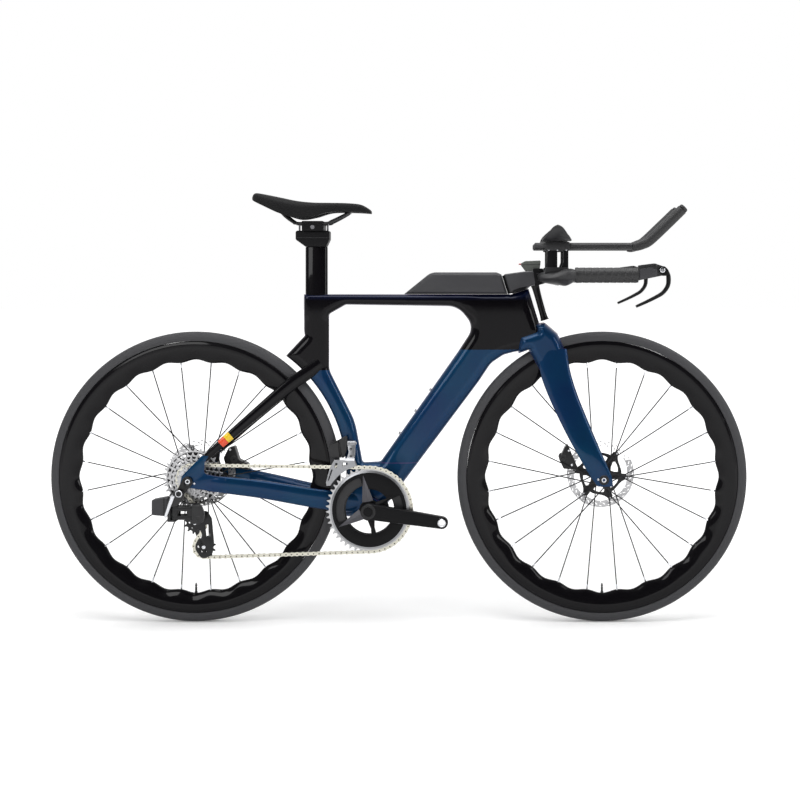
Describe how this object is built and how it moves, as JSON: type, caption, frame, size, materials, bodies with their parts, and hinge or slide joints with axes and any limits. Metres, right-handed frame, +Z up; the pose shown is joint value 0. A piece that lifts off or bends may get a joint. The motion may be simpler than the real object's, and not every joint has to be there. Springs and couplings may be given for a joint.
{
  "type": "triathlon bicycle",
  "caption": "Time-trial bicycle with deep-rim wheels, disc brakes, a base bar with arm rests and extensions, a two-ring chain drive and wireless derailleurs.",
  "frame": {"origin": "on the ground, midway between the two tyre contacts, in the middle plane", "axes": "+X points forward, +Y to the rider's left, +Z up"},
  "size_m": [1.629, 0.4324, 0.9998],
  "materials": {
    "pearl_paint": "gloss pearl",
    "matte_carbon": "matte",
    "gloss_black": "gloss",
    "rubber": "matte",
    "steel": "polished",
    "black_alloy": "anodised",
    "plastic": "satin",
    "saddle_cover": "matte",
    "chain_metal": "polished",
    "red_plastic": "satin"
  },
  "bodies": {
    "frame_body": {"frame": "pearl_paint", "derailleur_hanger": "black_alloy", "storage_box": "matte_carbon", "bb_cup_right": "black_alloy", "bb_cup_left": "black_alloy", "rear_thru_axle": "black_alloy", "rear_brake_caliper": "black_alloy", "front_derailleur": "plastic", "chain": "chain_metal", "derailleur_knuckle": "plastic"},
    "front_derailleur_cage": {"front_derailleur_cage": "steel"},
    "seat": {"seatpost": "matte_carbon", "saddle_clamp": "black_alloy", "saddle_rails": "steel", "saddle_shell": "matte_carbon", "saddle_padding": "saddle_cover"},
    "steering": {"fork": "pearl_paint", "fork_brace": "gloss_black", "stem": "matte_carbon", "base_bar": "matte_carbon", "grip_tape_right": "rubber", "grip_tape_left": "rubber", "brake_lever_body_right": "plastic", "brake_lever_body_left": "plastic", "arm_riser_right": "matte_carbon", "arm_riser_left": "matte_carbon", "arm_cup_right": "matte_carbon", "arm_cup_left": "matte_carbon", "arm_pad_right": "saddle_cover", "arm_pad_left": "saddle_cover", "extension_right": "matte_carbon", "extension_left": "matte_carbon", "extension_grip_right": "rubber", "extension_grip_left": "rubber", "control_box": "plastic", "front_thru_axle": "black_alloy", "front_brake_caliper": "black_alloy"},
    "right_lever": {"brake_lever_right": "black_alloy"},
    "left_lever": {"brake_lever_left": "black_alloy"},
    "right_button": {"shift_button_right": "red_plastic"},
    "left_button": {"shift_button_left": "red_plastic"},
    "front_wheel": {"front_tyre": "rubber", "front_rim": "gloss_black", "front_hub_spokes": "black_alloy", "front_rotor": "steel"},
    "rear_wheel": {"rear_tyre": "rubber", "rear_rim": "gloss_black", "rear_hub_spokes": "black_alloy", "rear_rotor": "steel"},
    "cassette": {"cassette": "steel"},
    "crankset": {"crank_arm_right": "black_alloy", "crank_arm_left": "black_alloy", "chainring_spider": "black_alloy", "chainrings": "steel"},
    "outer_link": {"derailleur_outer_link": "black_alloy"},
    "inner_link": {"derailleur_inner_link": "black_alloy"},
    "moving_knuckle": {"derailleur_moving_knuckle": "plastic"},
    "derailleur_cage": {"derailleur_cage": "black_alloy"},
    "guide_pulley": {"guide_pulley": "plastic"},
    "tension_pulley": {"tension_pulley": "plastic"}
  },
  "joints": [
    {"name": "steer", "type": "hinge", "parent": "frame_body", "child": "steering", "pos_m": [0.32733, 0, 0.636], "axis": [-0.3007, 0, 0.9537], "range_deg": [-45, 45]},
    {"name": "front_wheel_spin", "type": "hinge", "parent": "steering", "child": "front_wheel", "pos_m": [0.4755, 0, 0.339], "axis": [0, 1, 0], "continuous": true},
    {"name": "rear_wheel_spin", "type": "hinge", "parent": "frame_body", "child": "rear_wheel", "pos_m": [-0.4755, 0, 0.339], "axis": [0, 1, 0], "continuous": true},
    {"name": "crank_spin", "type": "hinge", "parent": "frame_body", "child": "crankset", "pos_m": [-0.0645, 0, 0.269], "axis": [0, 1, 0], "continuous": true, "deforming": ["chain"]},
    {"name": "cassette_spin", "type": "hinge", "parent": "frame_body", "child": "cassette", "pos_m": [-0.4755, 0, 0.339], "axis": [0, 1, 0], "continuous": true},
    {"name": "seatpost_slide", "type": "slide", "parent": "frame_body", "child": "seat", "axis": [0, 0, 1], "range_m": [-0.045, 0.03]},
    {"name": "right_brake", "type": "hinge", "parent": "steering", "child": "right_lever", "pos_m": [0.589, -0.2, 0.82], "axis": [0, 1, 0], "range_deg": [0, 22], "stiffness_Nm_per_rad": 0.8, "springref_deg": -20.05},
    {"name": "left_brake", "type": "hinge", "parent": "steering", "child": "left_lever", "pos_m": [0.589, 0.2, 0.82], "axis": [0, 1, 0], "range_deg": [0, 22], "stiffness_Nm_per_rad": 0.8, "springref_deg": -20.05},
    {"name": "right_button_press", "type": "slide", "parent": "steering", "child": "right_button", "axis": [-0.7184, 0, -0.6956], "range_m": [0, 0.0008], "stiffness_N_per_m": 2500, "springref_m": -0.0006},
    {"name": "left_button_press", "type": "slide", "parent": "steering", "child": "left_button", "axis": [-0.7184, 0, -0.6956], "range_m": [0, 0.0008], "stiffness_N_per_m": 2500, "springref_m": -0.0006},
    {"name": "front_derailleur_swing", "type": "hinge", "parent": "frame_body", "child": "front_derailleur_cage", "pos_m": [-0.118, -0.03, 0.42], "axis": [1, 0, 0], "range_deg": [0, 9]},
    {"name": "derailleur_swing", "type": "hinge", "parent": "frame_body", "child": "outer_link", "pos_m": [-0.505, -0.084, 0.2685], "axis": [0, 0, 1], "range_deg": [-26, 26]},
    {"name": "derailleur_inner_swing", "type": "hinge", "parent": "frame_body", "child": "inner_link", "pos_m": [-0.505, -0.065, 0.2685], "axis": [0, 0, 1], "range_deg": [-26, 26]},
    {"name": "knuckle_swing", "type": "hinge", "parent": "outer_link", "child": "moving_knuckle", "pos_m": [-0.465, -0.084, 0.2685], "axis": [0, 0, 1], "range_deg": [-26, 26]},
    {"name": "cage_swing", "type": "hinge", "parent": "moving_knuckle", "child": "derailleur_cage", "pos_m": [-0.449, 0, 0.254], "axis": [0, -1, 0], "range_deg": [-20, 40], "stiffness_Nm_per_rad": 1},
    {"name": "guide_pulley_spin", "type": "hinge", "parent": "derailleur_cage", "child": "guide_pulley", "pos_m": [-0.4656, 0, 0.2394], "axis": [0, 1, 0], "continuous": true},
    {"name": "tension_pulley_spin", "type": "hinge", "parent": "derailleur_cage", "child": "tension_pulley", "pos_m": [-0.44524, 0, 0.18365], "axis": [0, 1, 0], "continuous": true}
  ],
  "couplings": [
    {"joint": "cassette_spin", "follows": "crank_spin", "ratio": 3},
    {"joint": "guide_pulley_spin", "follows": "crank_spin", "ratio": -4},
    {"joint": "tension_pulley_spin", "follows": "crank_spin", "ratio": 4},
    {"joint": "derailleur_inner_swing", "follows": "derailleur_swing", "ratio": 1},
    {"joint": "knuckle_swing", "follows": "derailleur_swing", "ratio": -1}
  ]
}
